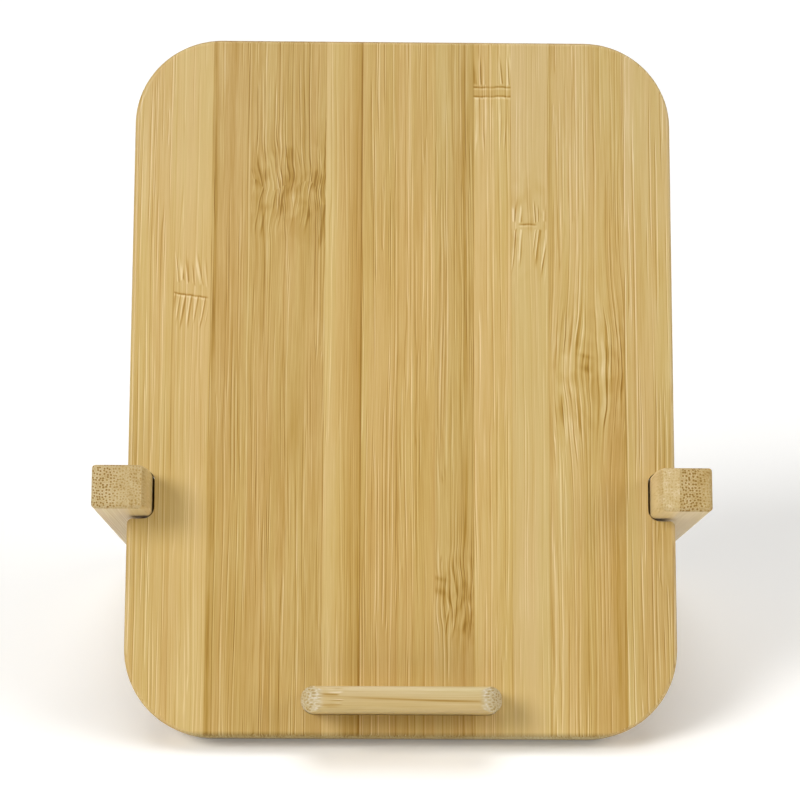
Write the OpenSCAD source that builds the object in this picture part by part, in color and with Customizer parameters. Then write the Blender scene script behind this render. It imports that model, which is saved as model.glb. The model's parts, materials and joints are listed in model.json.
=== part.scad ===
// Flat-pack bamboo stand for a tablet or a phone.
//
// Three knock-down parts make it: a leaning panel, a U-shaped yoke that props the panel from
// behind and whose two prongs come forward through notches in the panel's sides, and a ledge
// plugged into a slot near the panel's foot.  Panel and yoke are boards of edge-glued staves,
// and every stave is a sub-part of its own.
//
// Panel frame: x across the panel, y up along its front face, z out of the front face.
// The whole stand is built in that frame, then leaned back and set down on the table.

/* [Boards] */
// Thickness of the panel and of the yoke
board_t = 11; // [9:0.5:14]
// Roundover along the long edges of both boards
edge_r = 1.2; // [0.5:0.1:2]

/* [Panel] */
// Width of the panel
panel_w = 140; // [138:0.5:144]
// Height of the panel along its face
panel_h = 182; // [160:1:220]
// Radius of the panel's four corners
panel_corner_r = 22.5; // [10:0.5:26]

/* [Side notches] */
// Height of the notch floor above the panel's foot, along the face
notch_floor = 55.1; // [45:0.1:70]
// How far each notch cuts in from the panel's side
notch_depth = 7; // [6:0.5:9]
// Room above the notch floor beyond the yoke's thickness
notch_play = 1.6; // [1:0.1:3]
// Gap under a prong where it passes through its notch
prong_lift = 0.8; // [0.3:0.1:0.9]
// Radius of the notch's inner corners
notch_inner_r = 3; // [1:0.5:4]
// Radius that eases the mouth of the notch
notch_mouth_r = 1.5; // [0.5:0.5:2.5]

/* [Yoke] */
// Width of the yoke over its two prongs
yoke_w = 155; // [150:0.5:160]
// Width of one prong
prong_w = 13.9; // [12:0.1:14]
// How far the prongs stand out of the panel's front face
prong_reach = 15; // [10:1:25]
// Depth of the yoke behind the panel's back face
yoke_depth = 114; // [90:1:140]
// Radius of the yoke's two rear corners
yoke_corner_r = 20; // [8:1:30]
// Radius of the prong tips seen from above
tip_corner_r = 1.2; // [0.8:0.1:4]
// Length over which a prong's inner side curves in, so that it finds its notch
lead_in_length = 8; // [5:0.5:12]
// How much narrower that curve makes the prong at its tip
lead_in_depth = 1.4; // [1.2:0.1:2.5]
// Gap between the yoke's crotch and the panel's back face
crotch_gap = 0.1; // [0.05:0.05:0.5]

/* [Ledge] */
// Width of the ledge
ledge_w = 50; // [30:0.5:70]
// Thickness of the ledge
ledge_t = 6.4; // [4:0.1:8]
// Height of the ledge's middle above the panel's foot, along the face
ledge_y = 9.1; // [8:0.1:14]
// How far the ledge stands out of the panel's front face
ledge_reach = 15; // [8:1:25]
// Radius of the ledge's front corners seen from above
ledge_corner_r = 6.4; // [3:0.2:8]
// Radius of the ledge's nose
ledge_nose_r = 1.4; // [0.5:0.1:2]
// Clearance all round the ledge in its slot
slot_clearance = 0.1; // [0.05:0.05:0.3]

/* [Hidden] */
$fn = 96;
beyond = 5;  // how far a cutter runs past the face it cuts
straw = "#dcc28c";
honey = "#c9a268";
pale = "#e3cfa0";

// Seams between the panel's staves, from left to right.
panel_seams = [-59, -49.5, -39.4, -20, -10.5, -1, 8.5, 18.5, 28.3, 38, 57.3];
panel_staves = len(panel_seams) + 1;

// The yoke's inner staves are all of one width, with a narrower one ripped to size at each side.
yoke_staves = 16;
yoke_first_w = 9.6;
yoke_last_w = 8.3;
yoke_pitch = (yoke_w - yoke_first_w - yoke_last_w) / (yoke_staves - 2);

yoke_bottom = notch_floor + prong_lift;
notch_h = board_t + notch_play;
yoke_rear = -board_t - yoke_depth;
crotch = -board_t - crotch_gap;
slot_r = ledge_t / 2 + slot_clearance;
lead_in_r = (pow(lead_in_length, 2) + pow(lead_in_depth, 2)) / (2 * lead_in_depth);

// The panel stands on its rear foot edge and the yoke on its rear lower edge.  Both edges have
// the same roundover, so the table touches them both when the lean is this angle.
lean = atan2(yoke_depth, yoke_bottom);
foot_drop = edge_r * sin(lean) - (board_t - edge_r) * cos(lean) - edge_r;

// Front and rear of the standing object, which centre it over the origin.
nose_y = ledge_y - ledge_t / 2 + ledge_nose_r;
nose_z = ledge_reach - ledge_nose_r;
stand_front = nose_y * cos(lean) - nose_z * sin(lean) - ledge_nose_r;
heel_y = yoke_bottom + board_t - edge_r;
heel_z = yoke_rear + edge_r;
stand_rear = heel_y * cos(lean) - heel_z * sin(lean) + edge_r;

// Sets what is built in the panel frame down on the table, centred over the origin.
module standing() {
    translate([0, -(stand_front + stand_rear) / 2, -foot_drop])
        rotate([lean, 0, 0])
            children();
}

// Half of a board's section, from the middle (x = 0) to an eased edge at x = reach.
module half_section(reach) {
    translate([0, -board_t])
        square([reach - edge_r, board_t]);
    translate([0, edge_r - board_t])
        square([reach, board_t - 2 * edge_r]);
    for (z = [-edge_r, edge_r - board_t])
        translate([reach - edge_r, z])
            circle(edge_r);
}

// A straight run of board from y = 0 to y = length, eased along its edge at x = reach.
module eased_run(reach, length) {
    translate([0, length, 0])
        rotate([90, 0, 0])
            linear_extrude(length)
                half_section(reach);
}

// A board with its front face at z = 0, its foot at y = 0, and four round, eased corners.
module eased_board(width, height, corner) {
    for (side = [0, 1])
        mirror([side, 0, 0]) {
            translate([0, corner, 0])
                eased_run(width / 2, height - 2 * corner);
            for (end = [0, 1])
                translate([0, end * height, 0])
                    mirror([0, end, 0]) {
                        // foot or head, eased along y = 0
                        translate([0, corner, 0])
                            rotate([0, 0, -90])
                                eased_run(corner, width / 2 - corner);
                        translate([width / 2 - corner, corner, 0])
                            rotate([0, 0, -90])
                                rotate_extrude(angle = 90)
                                    half_section(corner);
                    }
        }
}

// A slab from x = left to x = right that is larger than any board, to cut one stave out of it.
module stave_slab(left, right) {
    span = panel_h + yoke_depth;
    translate([left, -beyond, -span / 2])
        cube([right - left, span, span]);
}

// Outline of one side notch, with its inner wall at x = 0 and its floor at y = 0.
module notch_outline() {
    translate([notch_inner_r, 0])
        square([notch_depth + beyond - notch_inner_r, notch_h]);
    translate([0, notch_inner_r])
        square([notch_depth + beyond, notch_h - 2 * notch_inner_r]);
    for (y = [notch_inner_r, notch_h - notch_inner_r])
        translate([notch_inner_r, y])
            circle(notch_inner_r);
    // the eased mouth, below and above
    for (end = [0, 1])
        translate([notch_depth - notch_mouth_r, end * notch_h])
            mirror([0, end, 0])
                difference() {
                    translate([0, -notch_mouth_r])
                        square([notch_mouth_r + beyond, notch_mouth_r]);
                    translate([0, -notch_mouth_r])
                        circle(notch_mouth_r);
                }
}

// Both side notches, as cutters through the panel.
module notches() {
    for (side = [0, 1])
        mirror([side, 0, 0])
            translate([panel_w / 2 - notch_depth, notch_floor, -board_t - beyond])
                linear_extrude(board_t + 2 * beyond)
                    notch_outline();
}

// Section of the ledge or of its slot: a bar with fully round ends.
module stadium(width, radius) {
    straight = width - 2 * radius;
    translate([-straight / 2, -radius])
        square([straight, 2 * radius]);
    for (x = [-straight / 2, straight / 2])
        translate([x, 0])
            circle(radius);
}

// The ledge's slot, as a cutter through the panel.
module ledge_slot() {
    translate([0, ledge_y, -board_t - beyond])
        linear_extrude(board_t + 2 * beyond)
            stadium(ledge_w + 2 * slot_clearance, slot_r);
}

// One stave of the panel, counted from the left.
module panel_stave(i) {
    left = i == 1 ? -panel_w / 2 - beyond : panel_seams[i - 2];
    right = i == panel_staves ? panel_w / 2 + beyond : panel_seams[i - 1];
    color(i < 3 || i > 8 ? straw : honey)
        standing()
            difference() {
                intersection() {
                    eased_board(panel_w, panel_h, panel_corner_r);
                    stave_slab(left, right);
                }
                if (i == 1 || i == panel_staves)
                    notches();
                if (left < ledge_w / 2 + slot_clearance && right > -ledge_w / 2 - slot_clearance)
                    ledge_slot();
            }
}

// Outline of a straight bar that is square at y = 0 and has round corners at its far end.
module bar_outline(width, length, corner) {
    inner = width / 2 - corner;
    translate([-width / 2, 0])
        square([width, length - corner]);
    translate([-inner, 0])
        square([2 * inner, length]);
    for (x = [-inner, inner])
        translate([x, length - corner])
            circle(corner);
}

// The eased inner side of a prong: straight along x = 0, then curving in towards the tip.
module lead_in_side(length) {
    translate([lead_in_r, 0, 0]) {
        mirror([1, 0, 0])
            eased_run(lead_in_r, length - lead_in_length);
        translate([0, length - lead_in_length, 0])
            rotate_extrude()
                half_section(lead_in_r);
    }
}

// The left prong lying flat, from the crotch at y = 0 to its tip.  Its outer side is at x = 0.
module prong(length) {
    intersection() {
        translate([prong_w, 0, 0])
            mirror([1, 0, 0])
                lead_in_side(length);
        translate([prong_w / 2, 0, 0])
            straight_prong(length);
    }
}

// A prong without its lead-in, centred on x = 0, with every edge eased.
module straight_prong(length) {
    intersection() {
        for (side = [0, 1])
            mirror([side, 0, 0])
                eased_run(prong_w / 2, length);
        // seen from above
        translate([0, 0, -2 * board_t])
            linear_extrude(3 * board_t)
                bar_outline(prong_w, length, tip_corner_r);
        // seen from the side
        translate([-prong_w, 0, -board_t / 2])
            rotate([90, 0, 90])
                linear_extrude(2 * prong_w)
                    rotate([0, 0, -90])
                        bar_outline(board_t, length, edge_r);
    }
}

// The yoke lying flat between x = left and x = right: rear edge at y = 0, prong tips at the far
// end, upper face at z = 0.
module yoke_board(left, right) {
    root = crotch - yoke_rear;
    intersection() {
        eased_board(yoke_w, root + yoke_corner_r + beyond, yoke_corner_r);
        translate([left, 0, -board_t - beyond])
            cube([right - left, root, board_t + 2 * beyond]);
    }
    for (side = [-1, 1])
        if (side * (left + right) > yoke_w - 3 * prong_w)
            intersection() {
                mirror([side > 0 ? 1 : 0, 0, 0])
                    translate([-yoke_w / 2, root, 0])
                        prong(prong_reach - crotch);
                stave_slab(left, right);
            }
}

// One stave of the yoke, counted from the left.
module yoke_stave(i) {
    first_seam = -yoke_w / 2 + yoke_first_w;
    left = i == 1 ? -yoke_w / 2 - beyond : first_seam + (i - 2) * yoke_pitch;
    right = i == yoke_staves ? yoke_w / 2 + beyond : first_seam + (i - 1) * yoke_pitch;
    color(i % 3 == 0 ? straw : honey)
        standing()
            translate([0, yoke_bottom, yoke_rear])
                rotate([90, 0, 0])
                    yoke_board(left, right);
}

// The ledge: flush with the panel's back, its front corners and its nose rounded.
module ledge() {
    length = board_t + ledge_reach;
    color(pale)
        standing()
            translate([0, ledge_y, -board_t])
                intersection() {
                    linear_extrude(length)
                        stadium(ledge_w, ledge_t / 2);
                    // seen from above
                    translate([0, ledge_t, 0])
                        rotate([90, 0, 0])
                            linear_extrude(2 * ledge_t)
                                bar_outline(ledge_w, length, ledge_corner_r);
                    // seen from the side
                    translate([-ledge_w, 0, 0])
                        rotate([90, 0, 90])
                            linear_extrude(2 * ledge_w)
                                bar_outline(ledge_t, length, ledge_nose_r);
                }
}

for (i = [1 : panel_staves])
    panel_stave(i);
for (i = [1 : yoke_staves])
    yoke_stave(i);
ledge();
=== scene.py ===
import json
import math

import bpy
from mathutils import Euler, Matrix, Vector


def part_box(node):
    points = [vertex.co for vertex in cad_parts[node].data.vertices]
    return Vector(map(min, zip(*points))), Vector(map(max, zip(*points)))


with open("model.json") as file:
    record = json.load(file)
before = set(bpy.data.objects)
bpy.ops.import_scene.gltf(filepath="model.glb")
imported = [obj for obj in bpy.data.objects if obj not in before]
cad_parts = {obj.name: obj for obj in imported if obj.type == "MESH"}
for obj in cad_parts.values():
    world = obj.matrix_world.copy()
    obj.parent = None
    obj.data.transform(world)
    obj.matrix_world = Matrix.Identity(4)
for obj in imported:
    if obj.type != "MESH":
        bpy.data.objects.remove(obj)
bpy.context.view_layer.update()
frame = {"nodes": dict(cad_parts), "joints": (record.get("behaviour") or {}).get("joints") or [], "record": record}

MM = 0.001

# ---------------------------------------------------------------------------------------------
# The panel frame: x across the panel, y up along its front face, z out of the front face.
# The joint that draws the panel off the yoke runs along z, and the face mount lies on the face.
# ---------------------------------------------------------------------------------------------
joints = {joint["name"]: joint for joint in frame["joints"]}
mounts = {mount["name"]: mount for mount in frame["record"]["mounts"]}
outward = Vector(joints["panel_slide"]["axis"]).normalized()
upward = outward.cross(Vector((1, 0, 0)))
lean = math.atan2(upward.z, upward.y)
FACE_MOUNT_HEIGHT = 120 * MM
face_point = Vector(mounts["panel_face"]["pos_m"])
face_foot = face_point - upward * FACE_MOUNT_HEIGHT
face_foot.x = 0


def place(x, y, z):
    """A point of the panel frame, in millimetres, as a point of the world."""
    return face_foot + (Vector((1, 0, 0)) * x + upward * y + outward * z) * MM


def middle_across(low, high):
    """The middle and the width of a box across the stand, in millimetres."""
    return (low.x + high.x) / 2 / MM, (high.x - low.x) / MM


# ---------------------------------------------------------------------------------------------
# Shader building: each method adds a node and returns the socket that it makes.
# ---------------------------------------------------------------------------------------------
class Wires:
    """The nodes and links of one shader tree."""

    def __init__(self, tree):
        self.tree = tree

    def node(self, kind, inputs=(), output=0, **settings):
        """A node of any kind, with its inputs fed; returns the output asked for."""
        made = self.tree.nodes.new(kind)
        for name, value in settings.items():
            setattr(made, name, value)
        for key, value in dict(inputs).items():
            self.feed(made.inputs[key], value)
        return made.outputs[output]

    def feed(self, socket, value):
        """Links a socket into an input, or sets a plain value on it."""
        if isinstance(value, bpy.types.NodeSocket):
            self.tree.links.new(value, socket)
        else:
            socket.default_value = value

    def math(self, operation, *values):
        return self.node("ShaderNodeMath", dict(enumerate(values)), operation=operation)

    def add(self, *values):
        total = values[0]
        for value in values[1:]:
            total = self.math("ADD", total, value)
        return total

    def less(self, a, b):
        return self.math("SUBTRACT", a, b)

    def times(self, *values):
        product = values[0]
        for value in values[1:]:
            product = self.math("MULTIPLY", product, value)
        return product

    def vector(self, operation, *values, output=0):
        return self.node(
            "ShaderNodeVectorMath", dict(enumerate(values)), output=output, operation=operation
        )

    def parts(self, vector):
        """The x, y and z of a vector."""
        made = self.tree.nodes.new("ShaderNodeSeparateXYZ")
        self.feed(made.inputs[0], vector)
        return made.outputs[0], made.outputs[1], made.outputs[2]

    def join(self, x, y, z):
        return self.node("ShaderNodeCombineXYZ", {0: x, 1: y, 2: z})

    def scaled(self, vector, factors):
        return self.vector("MULTIPLY", vector, factors)

    def ramp_up(self, value, low, high):
        """0 below low, 1 above high, and smooth between them."""
        return self.node(
            "ShaderNodeMapRange",
            {"Value": value, "From Min": low, "From Max": high},
            interpolation_type="SMOOTHSTEP",
        )

    def ramp_down(self, value, low, high):
        """1 below low, 0 above high, and smooth between them."""
        return self.less(1.0, self.ramp_up(value, low, high))

    def bell(self, value, width):
        """1 where value is 0, and falling smoothly to 0 over about twice width."""
        ratio = self.math("DIVIDE", value, width)
        return self.math("EXPONENT", self.times(ratio, ratio, -1))

    def noise(self, vector, detail=0.0, roughness=0.5, output=0):
        """Smooth noise: output 0 is one value of about 0.5, output 1 three of them as a colour."""
        inputs = {"Vector": vector, "Scale": 1.0, "Detail": detail, "Roughness": roughness}
        return self.node("ShaderNodeTexNoise", inputs, output)

    def mix(self, share, first, second):
        """The first colour where share is 0, and the second where it is 1."""
        return self.node("ShaderNodeMix", {0: share, 6: first, 7: second}, 2, data_type="RGBA")

    def multiply(self, first, second):
        """The product of two colours."""
        return self.node(
            "ShaderNodeMix",
            {0: 1.0, 6: first, 7: second},
            2,
            data_type="RGBA",
            blend_type="MULTIPLY",
        )

    def colours(self, share, stops):
        """A colour ramp through stops of (position, sRGB colour)."""
        made = self.tree.nodes.new("ShaderNodeValToRGB")
        ramp = made.color_ramp
        while len(ramp.elements) < len(stops):
            ramp.elements.new(0.5)
        for element, (position, colour) in zip(ramp.elements, stops):
            element.position = position
            element.color = (*linear(colour), 1)
        self.feed(made.inputs[0], share)
        return made.outputs[0]


def linear(colour):
    """An sRGB colour of 0 to 255 as linear light."""
    shares = [value / 255 for value in colour]
    return [s / 12.92 if s <= 0.04045 else ((s + 0.055) / 1.055) ** 2.4 for s in shares]


# ---------------------------------------------------------------------------------------------
# Bamboo.  One group makes the whole pattern as a solid texture, in millimetres: x across the
# stave, y along its fibres, z through it.  Cut along the fibres it shows streaks, and cut
# across them it shows the dots of the vascular bundles.
# ---------------------------------------------------------------------------------------------
BAMBOO_TONES = [
    (0.00, (144, 104, 28)),
    (0.22, (172, 134, 58)),
    (0.44, (186, 152, 84)),
    (0.60, (195, 164, 98)),
    (0.76, (202, 174, 113)),
    (1.00, (220, 197, 146)),
]
WHITE = (1, 1, 1, 1)
PALE_TINT = (0.92, 1.0, 1.24, 1)
END_GRAIN_TINT = (0.95, 1.0, 1.24, 1)
# Painted shade: the greyer colour along the panel's foot edge.
FOOT_SHADE_TINT = (0.70, 0.83, 1.18, 1)
BLUSH_TINTS = ((0.99, 1.0, 0.97, 1), (1.01, 0.99, 1.02, 1))

# How often each part of the pattern repeats in a millimetre: across the fibres, along them and
# through the stave.
DRIFT_RATE = (0.12, 0.012, 0.12)
PATCH_RATE = (0.16, 0.022, 0.16)
BAND_RATE = (0.42, 0.006, 0.42)
STREAK_RATE = (2.0, 0.018, 2.0)
FINE_RATE = (3.6, 0.07, 3.6)
PIN_RATE = (1.5, 0.010, 1.5)
BLUSH_RATE = (0.22, 0.012, 0.22)
SKIN_RATE = (0.5, 0.0, 0.5)
BUNDLE_RATE = 1.2
# How far the fibres drift from side to side, and how far apart two seeds lie in the pattern.
DRIFT_REACH = (2.4, 0, 2.4)
SEED_STEP = (17.3, 41.7, 9.1)

# Lengths in millimetres, and how much each mark darkens (below 0) or lightens the tone.
PIN_STEP, PIN_DEPTH = 0.20, 0.24
LEFT_SEAM_WIDTH, RIGHT_SEAM_WIDTH, SEAM_DEPTH = 0.22, 0.26, -0.34
AMBER_DEPTH = -0.32
# Painted shade along the panel's foot edge: the height it spans in mm, and how much it darkens.
FOOT_SHADE_RANGE, FOOT_SHADE_DEPTH = (0.2, 1.8), -0.4
# Painted shade low on the right of a stave, fading out between these heights in mm.
LOW_SHADE_RANGE = (20.0, 110.0)
# Painted light: cooler, paler colour high up the panel, between these heights in mm and this strong.
TOP_LIGHT_RANGE, TOP_LIGHT_PALENESS = (115.0, 170.0), 0.3
PLAIN_ROUGHNESS = 0.40
STROKE_RATE, STROKE_JITTER, STROKE_DEPTH = 4.3, 2.4, 0.44
BAR_WIDTH, BAR_DEPTH = 0.24, -0.52
LIP_WIDTH, LIP_BELOW, LIP_SHARE = 0.26, 0.5, 0.45
BETWEEN_DEPTH = -0.12
STAIN_DEPTH = -0.4
BLOT_WIDTH, BLOT_SLANT, BLOT_DEPTH = 1.9, 0.25, -0.34

# The settings of a stave and their usual values.  Lengths are in millimetres, and a tone is a
# place on BAMBOO_TONES.
STAVE_SETTINGS = {
    "Tone": 0.5,  # how light the wood is
    "Slope": 0.0,  # how much lighter the right side is than the left; on the ledge, painted shade on the lower part of its nose
    "Low right shade": 0.0,  # painted shade: how much darker the right side is near the foot
    "Width": 10.0,
    "Seed": 0.0,
    "Streaks": 1.0,
    "Pins": 1.0,  # strength of the thin paired lines, each a painted highlight beside painted shade
    "Seam left": 0.3,
    "Seam right": 0.3,
    "Amber at": 0.0,
    "Amber lean": 0.0,
    "Amber width": 0.5,
    "Amber": 0.0,
    "Foot shade": 0.0,  # strength of the painted shade along the edge at the foot
    "Bend": 0.0,  # fed by the knot
    "Knot tone": 0.0,  # fed by the knot
    "Pale": 0.0,  # how much less yellow the wood is
    "End grain": 0.0,  # fed by the way that the surface faces
    "End tone": -0.22,  # how far the end grain's tone is from the stave's
    "Pores": 0.5,  # how dark the dots of the end grain are, most of all at "Pores at"
    "Pores at": 0.0,
    "Pores reach": 4.0,
}
# The settings of a knot, which is a node of the culm.
KNOT_SETTINGS = {
    "Seed": 0.0,
    "At": 0.0,  # height on the stave
    "Side": 0.0,  # distance from the stave's middle
    "Spread": 5.0,  # half of its width
    "Strength": 1.0,
    "Below": 9.0,  # reach of the strokes below the bar
    "Above": 8.0,
    "Gap below": 0.0,  # plain wood between the bar and the strokes
    "Gap above": 0.0,
    "Bar": 0.0,  # strength of the bars
    "Bar reach": 9.0,
    "Second bar": 0.0,  # height of a second bar over the first
    "Tilt": 0.1,
    "Lean below": 0.0,
    "Lean above": 0.0,
    "Hollow": 0.0,  # half of the width that is left without strokes
    "Eye": 0.0,  # how far the strokes part round the middle
    "Wave": 0.0,
    "Scatter": 0.0,  # how unevenly high the strokes start
    "Ragged": 0.5,  # how far some of the strokes fade
    "Stain": 0.3,
    "Blot": 0.0,
    "Blot at": 0.0,
}


def new_group(name, settings, results):
    """A node group that takes a place and the settings, and gives the results."""
    group = bpy.data.node_groups.new(name, "ShaderNodeTree")
    group.interface.new_socket("Place", in_out="INPUT", socket_type="NodeSocketVector")
    for key, value in settings.items():
        socket = group.interface.new_socket(key, in_out="INPUT", socket_type="NodeSocketFloat")
        socket.default_value = value
    for key, kind in results.items():
        group.interface.new_socket(key, in_out="OUTPUT", socket_type=kind)
    given = group.nodes.new("NodeGroupInput").outputs
    result = group.nodes.new("NodeGroupOutput").inputs
    return group, Wires(group), given, result


def knot_group():
    """A node of the culm: strokes above and below a bar, each a painted highlight beside painted shade and raised
    a little by the bump, and fibres that bend round it.
    """
    kinds = {"Tone": "NodeSocketFloat", "Bend": "NodeSocketFloat"}
    group, w, given, result = new_group("knot", KNOT_SETTINGS, kinds)
    across, along, _ = w.parts(given["Place"])
    seed = given["Seed"]
    spread = given["Spread"]
    height = w.less(along, given["At"])
    off = w.less(across, given["Side"])
    sideways = w.math("ABSOLUTE", off)
    ripple = w.less(w.noise(w.join(w.times(across, 0.45), seed, 0.0), 1.0), 0.5)
    heave = w.less(w.noise(w.join(w.times(across, 0.20), seed, 5.0)), 0.5)
    level = w.add(
        height,
        w.times(off, given["Tilt"]),
        w.times(ripple, 0.6),
        w.times(heave, given["Scatter"], 2.0),
    )

    # How far the strokes reach: to a different height for each one.
    swell = w.noise(w.join(w.times(off, 0.8), w.add(seed, 7.0), 0.0))
    below = w.times(given["Below"], w.add(0.45, swell))
    above = w.times(given["Above"], w.less(1.45, swell))
    low_end = w.ramp_up(level, w.times(below, -1.15), w.times(below, -0.7))
    high_end = w.ramp_down(level, w.times(above, 0.7), w.times(above, 1.15))
    top_bar = given["Second bar"]
    gap_below = w.times(given["Gap below"], w.add(0.5, swell))
    gap_above = w.times(given["Gap above"], w.add(0.5, swell))
    under = w.ramp_up(w.times(level, -1.0), w.less(gap_below, 0.5), w.add(gap_below, 0.1))
    over = w.ramp_up(level, w.add(top_bar, gap_above, -0.6), w.add(top_bar, gap_above, 0.2))
    sides = w.ramp_down(sideways, w.times(spread, 0.85), w.times(spread, 1.1))
    hollow_inside = w.less(w.times(given["Hollow"], 0.9), 0.3)
    hollow_outside = w.add(w.times(given["Hollow"], 1.2), 0.01)
    pane = w.ramp_up(sideways, hollow_inside, hollow_outside)
    envelope = w.times(low_end, high_end, w.math("MAXIMUM", under, over), sides, pane)

    # The strokes follow lines that part round the middle, lean and wave.
    reach = w.math("MAXIMUM", given["Below"], given["Above"])
    near = w.bell(height, reach)
    bend_noise = w.noise(w.join(w.times(across, 0.2), w.times(along, 0.08), seed), 1.0)
    wave = w.times(w.less(bend_noise, 0.5), given["Wave"], 4.0, near)
    part = w.times(off, given["Eye"], near, w.bell(off, w.times(spread, 0.8)), -1.0)
    bend = w.add(wave, part)
    rise = w.math("MAXIMUM", level, 0.0)
    drop = w.math("MINIMUM", level, 0.0)
    leaning = w.add(w.times(rise, given["Lean above"]), w.times(drop, given["Lean below"]))
    line = w.add(off, bend, leaning)
    jitter = w.noise(w.join(w.times(line, 0.55), w.times(along, 0.04), w.add(seed, 1.0)), 1.0)
    phase = w.times(w.add(line, w.times(jitter, STROKE_JITTER)), STROKE_RATE)
    parted = w.math("GREATER_THAN", gap_above, 0.01)
    phase = w.add(phase, w.times(w.math("GREATER_THAN", level, 0.0), parted, 2.2))

    # Each stroke is a painted highlight beside painted shade, as if its ridge were lit from one side.
    def crest(shift):
        return w.ramp_up(w.math("SINE", w.add(phase, shift)), 0.30, 0.96)

    lit, shaded = crest(1.6), crest(0.0)
    painted_relief_light = w.less(w.times(lit, 0.75), w.times(shaded, 1.1))
    uneven = w.noise(w.join(w.times(line, 0.75), w.times(along, 0.06), w.add(seed, 5.0)), 1.0)
    uneven = w.less(1.0, w.times(w.ramp_down(uneven, 0.40, 0.58), given["Ragged"]))

    # Strokes fade where the blot lies.
    tilted = w.add(height, w.times(off, BLOT_SLANT))
    beside = w.bell(w.less(across, given["Blot at"]), BLOT_WIDTH)
    blotted = w.times(beside, w.bell(w.less(tilted, 1.6), 3.6), given["Blot"])
    clear = w.less(1.0, w.math("MINIMUM", w.times(blotted, 1.4), 1.0))
    strokes = w.times(painted_relief_light, envelope, uneven, given["Strength"], clear, STROKE_DEPTH)

    # Thin dark bars, each with a light lower lip, and a darker band between two of them.
    def lipped_bar(distance):
        lip = w.bell(w.add(distance, LIP_BELOW), LIP_WIDTH)
        return w.less(w.bell(distance, BAR_WIDTH), w.times(lip, LIP_SHARE))

    above_top = w.less(level, top_bar)
    two_bars = w.math("GREATER_THAN", top_bar, 1.0)
    bar_reach = given["Bar reach"]
    bar_ends = w.ramp_down(sideways, w.times(bar_reach, 0.7), w.times(bar_reach, 1.1))
    bars = w.add(lipped_bar(level), w.times(lipped_bar(above_top), two_bars))
    bars = w.times(bars, w.add(0.45, swell), sides, bar_ends, BAR_DEPTH)
    between = w.times(w.ramp_up(level, 0.0, 0.4), w.ramp_down(above_top, -0.4, 0.0))
    between = w.times(between, two_bars, sides, BETWEEN_DEPTH)
    bars = w.times(w.add(bars, between), given["Bar"])

    # Amber stains: clouds along the strokes, and a blot beside the bar.
    cloud = w.noise(w.join(w.times(line, 0.34), w.times(along, 0.16), w.add(seed, 3.0)), 1.5)
    cloud = w.times(w.ramp_up(cloud, 0.40, 0.66), w.bell(height, w.times(reach, 0.9)))
    stain = w.times(cloud, sides, given["Stain"], STAIN_DEPTH)
    wedges = w.add(w.bell(w.less(tilted, 3.3), 0.6), w.bell(tilted, 0.9))
    wedges = w.add(wedges, w.times(w.bell(w.less(tilted, 1.6), 2.2), 0.5))
    blot = w.times(wedges, beside, given["Blot"], BLOT_DEPTH)
    w.feed(result["Tone"], w.add(strokes, bars, stain, blot))
    w.feed(result["Bend"], bend)
    return group


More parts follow.
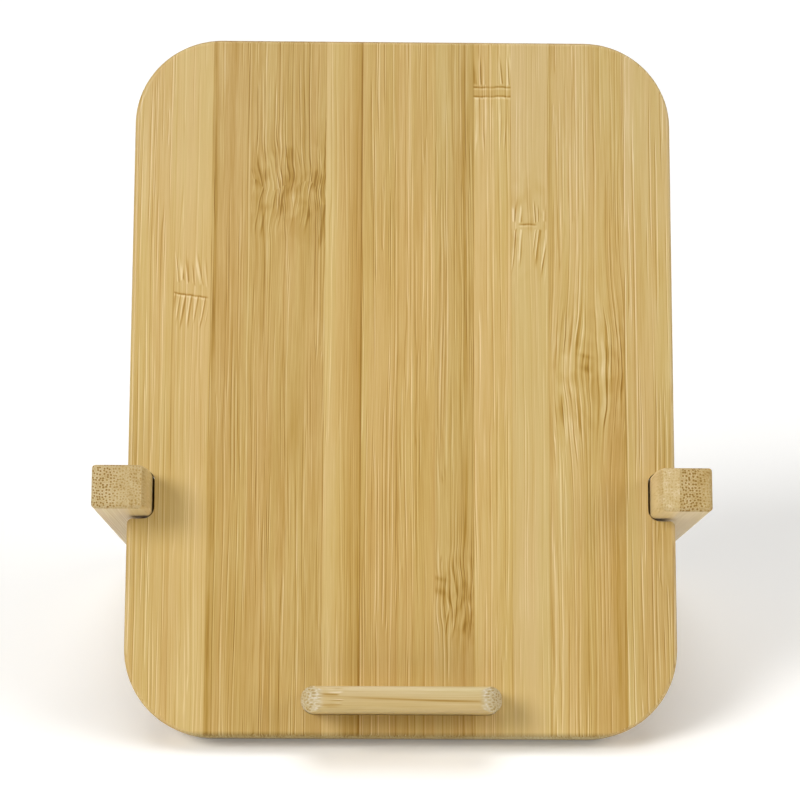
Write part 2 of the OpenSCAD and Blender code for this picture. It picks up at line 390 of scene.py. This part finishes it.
def bamboo_group():
    """One stave of bamboo: its streaks, lines, seams and, where it is cut across, its pores."""
    kinds = {"Color": "NodeSocketColor", "Roughness": "NodeSocketFloat", "Height": "NodeSocketFloat"}
    group, w, given, result = new_group("bamboo", STAVE_SETTINGS, kinds)
    across, along, _ = w.parts(given["Place"])
    shift = w.vector("SCALE", SEED_STEP)
    w.feed(shift.node.inputs["Scale"], given["Seed"])
    seeded = w.vector("ADD", given["Place"], shift)

    # The slow drift of the fibres from side to side.
    drift = w.noise(w.scaled(seeded, DRIFT_RATE), 1.5, output=1)
    drift = w.scaled(w.vector("SUBTRACT", drift, (0.5, 0.5, 0.5)), DRIFT_REACH)
    fibre = w.vector("ADD", w.vector("ADD", seeded, drift), w.join(given["Bend"], 0.0, 0.0))

    # Streaks, from soft bands and patches to single fibres.
    patch = w.less(w.noise(w.scaled(fibre, PATCH_RATE), 2.0), 0.5)
    band = w.less(w.noise(w.scaled(fibre, BAND_RATE), 1.0), 0.5)
    streak = w.less(w.noise(w.scaled(fibre, STREAK_RATE), 2.0, 0.6), 0.5)
    fine = w.less(w.noise(w.scaled(fibre, FINE_RATE), 2.0, 0.65), 0.5)

    # Thin paired lines where a bundle was cut open, each a painted highlight beside painted shade, as if the
    # groove were lit from one side.
    def pin(move):
        moved = w.vector("ADD", fibre, (move, 0, 0))
        return w.ramp_up(w.noise(w.scaled(moved, PIN_RATE), 1.0), 0.56, 0.61)

    pins = w.times(w.less(pin(0.0), pin(PIN_STEP)), given["Pins"], PIN_DEPTH)

    # The vascular bundles, which run along the fibres: single lines, or dots in the end grain.
    bundles = w.tree.nodes.new("ShaderNodeTexVoronoi")
    bundles.voronoi_dimensions = "2D"
    fibre_x, _, fibre_z = w.parts(fibre)
    w.feed(bundles.inputs["Vector"], w.join(fibre_x, fibre_z, 0.0))
    w.feed(bundles.inputs["Scale"], BUNDLE_RATE)
    w.feed(bundles.inputs["Randomness"], 0.55)
    from_bundle = bundles.outputs["Distance"]
    bundle = w.ramp_down(from_bundle, 0.06, 0.22)
    shade_x, shade_y, shade_z = w.parts(bundles.outputs["Color"])
    runs = w.noise(w.join(w.times(shade_x, 30.0), w.times(along, 0.02), given["Seed"]), 1.0)
    kind = w.times(w.less(shade_x, 0.5), w.ramp_up(runs, 0.35, 0.6))
    lines = w.times(bundle, kind)

    # One amber streak, and the glue lines at the stave's two sides.
    fibre_across = w.less(fibre_x, w.parts(shift)[0])
    amber_line = w.add(given["Amber at"], w.times(along, given["Amber lean"]))
    amber = w.bell(w.less(fibre_across, amber_line), given["Amber width"])
    amber_runs = w.noise(w.join(given["Seed"], w.times(along, 0.03), 0.0), 1.0)
    amber = w.times(amber, given["Amber"], w.ramp_up(amber_runs, 0.25, 0.6), AMBER_DEPTH)
    half = w.times(given["Width"], 0.5)
    waver = w.times(w.less(amber_runs, 0.5), 0.5)
    left_seam = w.times(w.bell(w.add(across, half), LEFT_SEAM_WIDTH), given["Seam left"])
    right_seam = w.bell(w.less(half, w.add(across, waver)), RIGHT_SEAM_WIDTH)
    seams = w.add(left_seam, w.times(right_seam, given["Seam right"]))

    streaks = w.add(
        w.times(patch, 0.30),
        w.times(band, 0.26),
        w.times(streak, 0.34),
        w.times(fine, 0.46),
        w.times(lines, 0.40),
        pins,
    )
    share_across = w.math("DIVIDE", across, given["Width"])
    slope = w.times(share_across, given["Slope"])
    # Painted shade: darker towards the right side, low down the stave.
    low_down = w.ramp_down(along, *LOW_SHADE_RANGE)
    low_right_shade = w.times(low_down, w.add(share_across, 0.5), given["Low right shade"], -1.0)
    # Painted shade along the foot edge.
    foot_shade = w.times(w.ramp_down(along, *FOOT_SHADE_RANGE), given["Foot shade"])
    tone = w.add(
        given["Tone"],
        slope,
        low_right_shade,
        w.times(streaks, given["Streaks"]),
        given["Knot tone"],
        amber,
        w.times(seams, SEAM_DEPTH),
        w.times(foot_shade, FOOT_SHADE_DEPTH),
    )

    # End grain: brown dots, coarse and dark where the stave was nearest the culm's skin.
    ragged = w.less(w.noise(w.scaled(seeded, SKIN_RATE)), 0.5)
    from_skin = w.add(w.less(across, given["Pores at"]), w.times(ragged, 1.6))
    crowd = w.times(w.bell(from_skin, given["Pores reach"]), given["Pores"])
    dots = w.ramp_down(from_bundle, 0.18, 0.36)
    rims = w.less(w.ramp_up(from_bundle, 0.34, 0.44), w.ramp_up(from_bundle, 0.50, 0.62))
    crowd_dark = w.times(crowd, w.add(0.40, w.times(shade_z, 0.36)))
    dark = w.add(0.05, w.times(shade_y, 0.14), crowd_dark)
    end_tone = w.add(given["Tone"], given["End tone"], w.times(band, 0.5), w.times(fine, 0.9))
    end_tone = w.add(end_tone, w.times(rims, w.add(0.05, w.times(crowd, 0.2))))
    end_tone = w.less(end_tone, w.times(dots, dark))
    tones = {0: given["End grain"], 2: tone, 3: end_tone}
    tone = w.node("ShaderNodeMix", tones, data_type="FLOAT")

    # Colour: warmer and cooler patches, painted grey shade at the foot, and painted cooler, paler light high up.
    blush = w.noise(w.scaled(fibre, BLUSH_RATE), 1.0)
    tint = w.mix(w.ramp_up(blush, 0.3, 0.7), *BLUSH_TINTS)
    tint = w.mix(given["End grain"], tint, END_GRAIN_TINT)
    tint = w.mix(foot_shade, tint, FOOT_SHADE_TINT)
    # Painted light: cooler, paler colour high up the panel; pale also carries the stave's own paleness.
    top_light_share = w.ramp_up(along, *TOP_LIGHT_RANGE)
    pale = w.add(given["Pale"], w.times(top_light_share, TOP_LIGHT_PALENESS))
    tint = w.multiply(tint, w.mix(pale, WHITE, PALE_TINT))
    w.feed(result["Color"], w.multiply(w.colours(tone, BAMBOO_TONES), tint))

    # Surface: end grain is rougher, and fibres, strokes and pores stand out or sink a little.
    uneven = w.add(w.times(streak, 0.14), w.times(fine, 0.12))
    roughness = w.add(PLAIN_ROUGHNESS, uneven, w.times(given["End grain"], 0.2))
    w.feed(result["Roughness"], roughness)
    grooves = w.add(w.times(fine, 0.2), w.times(pins, 0.4), w.times(given["Knot tone"], 0.7))
    w.feed(result["Height"], w.less(grooves, w.times(dots, given["End grain"], 0.4)))
    return group


BAMBOO = bamboo_group()
KNOT = knot_group()

# How the fibre frame lies in the panel frame: a turn, which way the fibres run in the world, and
# from what slope to what slope across the fibres a surface shows its end grain.
ALONG_PANEL = (Euler((-lean, 0, 0)), upward, (0.42, 0.8))
ALONG_YOKE = (Euler((-lean - math.pi / 2, 0, 0)), outward, (0.06, 0.40))
ALONG_LEDGE = (Euler((-lean, 0, math.pi / 2)), Vector((1, 0, 0)), (0.06, 0.34))


def use_group(w, group, place_socket, settings):
    """A node that uses a group at a place, with settings given as plain values."""
    made = w.tree.nodes.new("ShaderNodeGroup")
    made.node_tree = group
    w.feed(made.inputs["Place"], place_socket)
    for key, value in settings.items():
        made.inputs[key].default_value = value
    return made


def bamboo(name, grain, centre, settings, knot=None):
    """A bamboo material whose pattern is centred on a point of the panel frame, given in mm."""
    turn, fibres, cut_slopes = grain
    material = bpy.data.materials.new(name)
    material.use_nodes = True
    w = Wires(material.node_tree)
    shader = material.node_tree.nodes["Principled BSDF"]
    places = material.node_tree.nodes.new("ShaderNodeTexCoord")
    start = -(turn.to_matrix() @ place(*centre)) / MM
    spot = w.node(
        "ShaderNodeMapping",
        {
            "Vector": places.outputs["Object"],
            "Location": start,
            "Rotation": turn,
            "Scale": (1 / MM, 1 / MM, 1 / MM),
        },
    )
    facing = w.vector("DOT_PRODUCT", places.outputs["Normal"], fibres, output=1)
    pattern = use_group(w, BAMBOO, spot, settings)
    w.feed(pattern.inputs["End grain"], w.ramp_up(w.math("ABSOLUTE", facing), *cut_slopes))
    if knot:
        swirl = use_group(w, KNOT, spot, {"Seed": settings["Seed"], **knot})
        w.feed(pattern.inputs["Knot tone"], swirl.outputs["Tone"])
        w.feed(pattern.inputs["Bend"], swirl.outputs["Bend"])
    w.feed(shader.inputs["Base Color"], pattern.outputs["Color"])
    w.feed(shader.inputs["Roughness"], pattern.outputs["Roughness"])
    bump = w.node(
        "ShaderNodeBump",
        {"Strength": 0.2, "Distance": 0.1 * MM, "Height": pattern.outputs["Height"]},
    )
    w.feed(shader.inputs["Normal"], bump)
    shader.inputs["Specular IOR Level"].default_value = 0.5
    return material


def dress(node, material):
    """Gives a CAD node one material."""
    mesh = frame["nodes"][node].data
    mesh.materials.clear()
    mesh.materials.append(material)


# ---------------------------------------------------------------------------------------------
# The panel's staves, from left to right, and what sets each one apart.
# ---------------------------------------------------------------------------------------------
PANEL_STAVES = [
    {"Tone": 0.63, "Pins": 1.3, "Amber at": -4.2, "Amber": 0.5},
    {"Tone": 0.70, "Streaks": 0.7, "Seam right": 0.9},
    {"Tone": 0.45, "Streaks": 1.2, "Amber at": -4.2, "Amber": 0.9, "Pale": 0.2},
    {"Tone": 0.45, "Streaks": 1.3, "Pale": 0.2},
    {"Tone": 0.54, "Slope": -0.50, "Streaks": 0.8, "Seam right": 1.2},
    {"Tone": 0.51, "Pins": 1.4},
    {"Tone": 0.55, "Pins": 1.2},
    {
        "Tone": 0.50, "Slope": -0.12, "Streaks": 1.2, "Seam right": 0.7, "Amber at": 2.6,
        "Amber": 0.9, "Pale": 0.25,
    },
    {"Tone": 0.65},
    {"Tone": 0.71, "Streaks": 0.6, "Seam right": 1.1, "Pale": 0.25},
    {
        "Tone": 0.62, "Slope": -0.20, "Low right shade": 0.22, "Streaks": 1.1, "Amber at": -9.0,
        "Amber": 0.9, "Pale": 0.2,
    },
    {"Tone": 0.64, "Low right shade": 0.2, "Pins": 1.6, "Pale": 0.3},
]
PANEL_KNOTS = {
    # stave: its knot
    2: {
        "At": 113.3, "Side": -0.6, "Spread": 4.6, "Gap above": 3.3, "Gap below": 0.4, "Bar": 1.1,
        "Below": 8.6, "Above": 9.6, "Tilt": 0.14, "Lean above": 0.10, "Lean below": -0.14,
        "Ragged": 0.35, "Stain": 0.1,
    },
    4: {
        "At": 142.5, "Spread": 10.0, "Gap above": 0.2, "Gap below": 0.2, "Below": 12.0,
        "Above": 11.0, "Wave": 0.9, "Lean above": 0.10, "Lean below": -0.13, "Scatter": 8.0,
        "Ragged": 1.0, "Stain": 0.7, "Strength": 0.55,
    },
    8: {
        "At": 35.6, "Side": 1.2, "Spread": 4.2, "Below": 11.0, "Above": 11.0, "Wave": 0.7,
        "Lean above": 0.06, "Lean below": -0.10, "Scatter": 3.0, "Ragged": 0.9, "Stain": 0.7,
        "Strength": 0.6, "Blot": 0.7, "Blot at": -3.8,
    },
    9: {
        "At": 167.1, "Spread": 5.2, "Gap above": 0.8, "Gap below": 0.6, "Bar": 1.0,
        "Second bar": 2.5, "Below": 13.0, "Above": 12.0, "Tilt": 0.0, "Lean above": 0.06,
        "Hollow": 1.6, "Ragged": 0.6, "Stain": 0.1, "Strength": 1.05,
    },
    10: {
        "At": 132.7, "Side": -0.6, "Spread": 4.8, "Gap above": 0.8, "Gap below": 1.6,
        "Bar": 0.9, "Bar reach": 2.4, "Below": 12.5, "Above": 5.5, "Tilt": 0.0,
        "Lean below": -0.12, "Hollow": 1.5, "Wave": 0.3, "Ragged": 0.2, "Stain": 0.5,
        "Strength": 1.2,
    },
    11: {
        "At": 94.2, "Side": 1.1, "Spread": 10.0, "Below": 18.0, "Above": 17.0, "Wave": 0.3,
        "Eye": 0.55, "Hollow": 1.7, "Scatter": 6.0, "Ragged": 0.8, "Stain": 0.4,
        "Strength": 0.85, "Blot": 0.7, "Blot at": -0.4,
    },
}
PANEL_SEED_STEP = 1.37
for number, settings in enumerate(PANEL_STAVES, start=1):
    node = f"panel_stave_{number}"
    middle, width = middle_across(*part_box(node))
    # Every panel stave has painted shade along its foot edge.
    stave = {
        "Seed": number * PANEL_SEED_STEP, "Width": width, "Pores": 0.1, "Foot shade": 1.0, **settings
    }
    dress(node, bamboo(node, ALONG_PANEL, (middle, 0, 0), stave, PANEL_KNOTS.get(number)))

# ---------------------------------------------------------------------------------------------
# The yoke's staves run from the rear edge to the front, and the two at each side go on to the
# prong tips.  The sine and the cosine only make the staves differ from each other.
# ---------------------------------------------------------------------------------------------
YOKE_STAVE_COUNT = 16
YOKE_SEED_STEP = 2.11
YOKE_FIRST_SEED = 40
YOKE_TONE, YOKE_TONE_SWING, YOKE_SLOPE_SWING = 0.54, 0.08, 0.12
PRONG_STAVES = {
    # number: what sets the stave apart
    1: {
        "Tone": 0.78, "End tone": -0.28, "Pores": 0.9, "Pores at": -3.0, "Pores reach": 5.0,
        "Pale": 0.5,
    },
    2: {"Tone": 0.78, "End tone": -0.32, "Pores": 0.2, "Pores reach": 60.0, "Pale": 0.5},
    15: {"Tone": 1.0, "End tone": -0.31},
    16: {
        "Tone": 0.88, "End tone": -0.48, "Pores": 1.1, "Pores at": -1.4, "Pores reach": 2.8,
        "Pale": 0.5,
    },
}
for number in range(1, YOKE_STAVE_COUNT + 1):
    node = f"yoke_stave_{number}"
    middle, width = middle_across(*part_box(node))
    stave = {
        "Seed": number * YOKE_SEED_STEP + YOKE_FIRST_SEED,
        "Width": width,
        "Tone": YOKE_TONE + YOKE_TONE_SWING * math.sin(number * 2.4),
        "Slope": YOKE_SLOPE_SWING * math.cos(number * 1.7),
        "Streaks": 0.7,
        "Pores": 0.1,
        **PRONG_STAVES.get(number, {}),
    }
    dress(node, bamboo(node, ALONG_YOKE, (middle, 0, 0), stave))

# ---------------------------------------------------------------------------------------------
# The ledge, whose fibres run across the stand.  Its middle is 9.1 mm up the panel's face.
# ---------------------------------------------------------------------------------------------
LEDGE_HEIGHT = 9.1
# The ledge's Slope darkens the lower part of its nose: painted shade.
ledge = {
    "Seed": 83.0, "Width": 6.0, "Tone": 0.67, "Slope": -0.26, "Streaks": 0.6, "Pins": 0.4,
    "Seam left": 0.0, "Seam right": 0.0, "Amber": 1.6, "Amber at": -0.2, "Amber lean": 0.031,
    "Amber width": 0.28, "End tone": -0.02, "Pores": 0.35, "Pores reach": 60.0, "Pale": 1.0,
}
ledge_knot = {
    "At": -18.0, "Side": -0.3, "Spread": 2.6, "Below": 2.5, "Above": 3.5, "Tilt": 0.0,
    "Ragged": 0.8, "Stain": 0.4,
}
dress("ledge", bamboo("ledge", ALONG_LEDGE, (0, LEDGE_HEIGHT, 0), ledge, ledge_knot))


# ---------------------------------------------------------------------------------------------
# Stage: a pale floor, soft light and the camera.
# ---------------------------------------------------------------------------------------------
def floor_paper():
    """White paper that glows a little, as if lit evenly from all round."""
    material = bpy.data.materials.new("floor_paper")
    material.use_nodes = True
    shader = material.node_tree.nodes["Principled BSDF"]
    shader.inputs["Base Color"].default_value = (0.95, 0.945, 0.93, 1)
    shader.inputs["Roughness"].default_value = 0.9
    shader.inputs["Emission Color"].default_value = WHITE
    shader.inputs["Emission Strength"].default_value = 0.16
    return material


def pale_floor(half_size):
    low, high = -half_size, half_size
    mesh = bpy.data.meshes.new("floor")
    corners = [(low, low, 0), (high, low, 0), (high, high, 0), (low, high, 0)]
    mesh.from_pydata(corners, [], [(0, 1, 2, 3)])
    mesh.materials.append(floor_paper())
    floor = bpy.data.objects.new("floor", mesh)
    bpy.context.scene.collection.objects.link(floor)


def soft_box(name, spot, aim, size, power):
    """A square light at a spot, turned to a point."""
    light = bpy.data.lights.new(name, "AREA")
    light.size = size
    light.energy = power
    lamp = bpy.data.objects.new(name, light)
    lamp.location = spot
    lamp.rotation_euler = (Vector(aim) - Vector(spot)).to_track_quat("-Z", "Y").to_euler()
    bpy.context.scene.collection.objects.link(lamp)


def soft_sun(name, azimuth, elevation, strength, spread):
    """A wide, even light: azimuth 0 is in front of the stand, and 90 on the viewer's right."""
    light = bpy.data.lights.new(name, "SUN")
    light.energy = strength
    light.angle = math.radians(spread)
    lamp = bpy.data.objects.new(name, light)
    lamp.rotation_euler = Euler((math.radians(90 - elevation), 0, math.radians(azimuth)))
    bpy.context.scene.collection.objects.link(lamp)


def surroundings(strength):
    """A faint warm light from all round."""
    world = bpy.data.worlds.new("white_room")
    world.use_nodes = True
    background = world.node_tree.nodes["Background"]
    background.inputs["Color"].default_value = (1, 0.96, 0.88, 1)
    background.inputs["Strength"].default_value = strength
    bpy.context.scene.world = world


def camera(aim, distance, elevation, azimuth, roll, lens):
    """A camera that looks at a point; its angles are in degrees."""
    level_away = math.cos(math.radians(elevation))
    away = Vector((
        -math.sin(math.radians(azimuth)) * level_away,
        -math.cos(math.radians(azimuth)) * level_away,
        math.sin(math.radians(elevation)),
    ))
    data = bpy.data.cameras.new("camera")
    data.sensor_width = 36
    data.lens = lens
    data.clip_start = 0.01
    eye = bpy.data.objects.new("camera", data)
    eye.location = aim + away * distance
    turn = (-away).to_track_quat("-Z", "Y")
    eye.rotation_mode = "QUATERNION"
    eye.rotation_quaternion = turn @ Euler((0, 0, math.radians(roll))).to_quaternion()
    bpy.context.scene.collection.objects.link(eye)
    bpy.context.scene.camera = eye


pale_floor(half_size=4.0)
surroundings(0.08)
soft_sun("key", azimuth=-47, elevation=34, strength=1.92, spread=26)
soft_sun("side", azimuth=66, elevation=28, strength=1.08, spread=40)
soft_sun("top", azimuth=180, elevation=84, strength=1.20, spread=50)
soft_box("hair", spot=(-0.10, -0.25, 0.45), aim=(0, 0.02, 0.15), size=0.25, power=0.13)
camera(
    aim=place(-0.5, 86.1, 0),
    distance=623.1 * MM,
    elevation=16.56,
    azimuth=0.84,
    roll=0.59,
    lens=109.14,
)
bpy.context.scene.view_settings.view_transform = "Standard"
